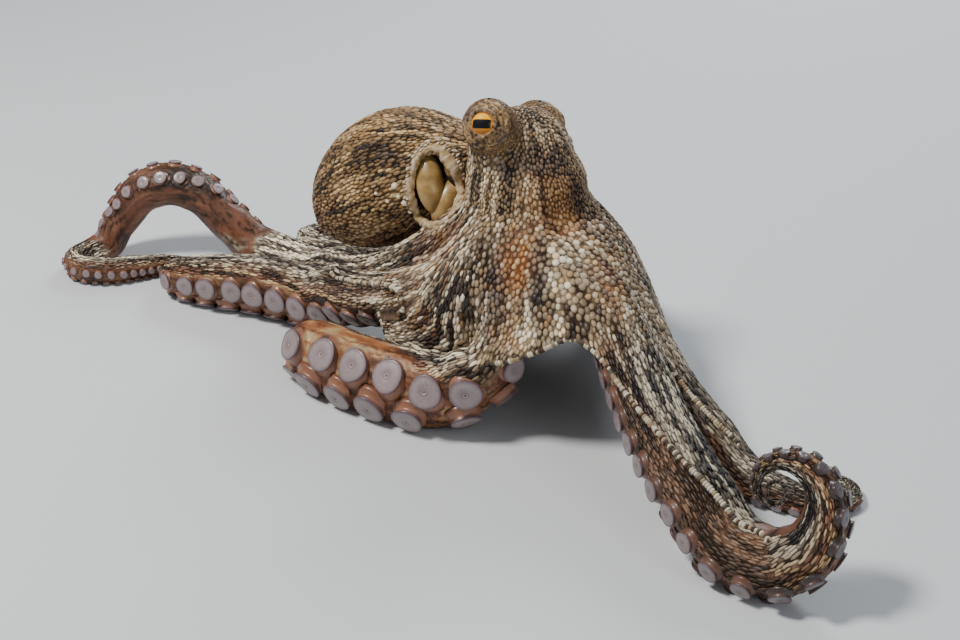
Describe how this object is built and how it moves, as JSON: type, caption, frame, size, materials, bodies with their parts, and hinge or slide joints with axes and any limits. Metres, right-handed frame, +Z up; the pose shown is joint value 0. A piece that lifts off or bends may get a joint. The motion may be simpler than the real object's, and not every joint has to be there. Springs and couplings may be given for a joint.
{
  "type": "octopus",
  "caption": "Life-size still model of a common octopus standing high on its arms like a tent, its mantle hanging behind and one arm coiled at the end",
  "frame": {"origin": "centre of the bounding box at floor level", "axes": "+Z up; the near, right side of the animal faces -Y; the mantle hangs towards -X and +Y; the coiled arm reaches towards +X and -Y"},
  "size_m": [0.5766, 0.5492, 0.2117],
  "materials": {
    "mantle_and_head_skin": "pebbled wet skin, tan grains with dark gaps and darker blotches",
    "arm_skin": "wet skin, streaked cream and dark brown on the back, orange-brown by the suckers",
    "web_skin": "pebbled wet skin, cream grains in dark streaks that follow the arms",
    "eye": "clear dome over a golden iris with a black bar pupil",
    "collar_flesh": "smooth moist tan flesh"
  },
  "bodies": {
    "root": {"head": "mantle_and_head_skin", "mantle": "mantle_and_head_skin", "arm_l1_middle": "arm_skin", "arm_l1_root": "arm_skin", "arm_l1_tip": "arm_skin", "arm_l1_upper": "arm_skin", "arm_l2_middle": "arm_skin", "arm_l2_root": "arm_skin", "arm_l2_tip": "arm_skin", "arm_l2_upper": "arm_skin", "arm_l3_middle": "arm_skin", "arm_l3_root": "arm_skin", "arm_l3_tip": "arm_skin", "arm_l3_upper": "arm_skin", "arm_l4_middle": "arm_skin", "arm_l4_root": "arm_skin", "arm_l4_tip": "arm_skin", "arm_l4_upper": "arm_skin", "arm_r1_lower": "arm_skin", "arm_r1_middle": "arm_skin", "arm_r1_root": "arm_skin", "arm_r1_tip": "arm_skin", "arm_r1_upper": "arm_skin", "arm_r2_lower": "arm_skin", "arm_r2_middle": "arm_skin", "arm_r2_root": "arm_skin", "arm_r2_tip": "arm_skin", "arm_r2_upper": "arm_skin", "arm_r3_middle": "arm_skin", "arm_r3_root": "arm_skin", "arm_r3_tip": "arm_skin", "arm_r3_upper": "arm_skin", "arm_r4_end": "arm_skin", "arm_r4_lower": "arm_skin", "arm_r4_middle": "arm_skin", "arm_r4_root": "arm_skin", "arm_r4_tip": "arm_skin", "arm_r4_upper": "arm_skin", "web_l1_r1": "web_skin", "web_l2_l1": "web_skin", "web_l3_l2": "web_skin", "web_l4_l3": "web_skin", "web_r1_r2": "web_skin", "web_r2_r3": "web_skin", "web_r3_r4": "web_skin", "web_r4_l4": "web_skin", "eye_left": "eye", "eye_right": "eye", "collar_lobe": "collar_flesh", "funnel": "collar_flesh"}
  },
  "joints": []
}
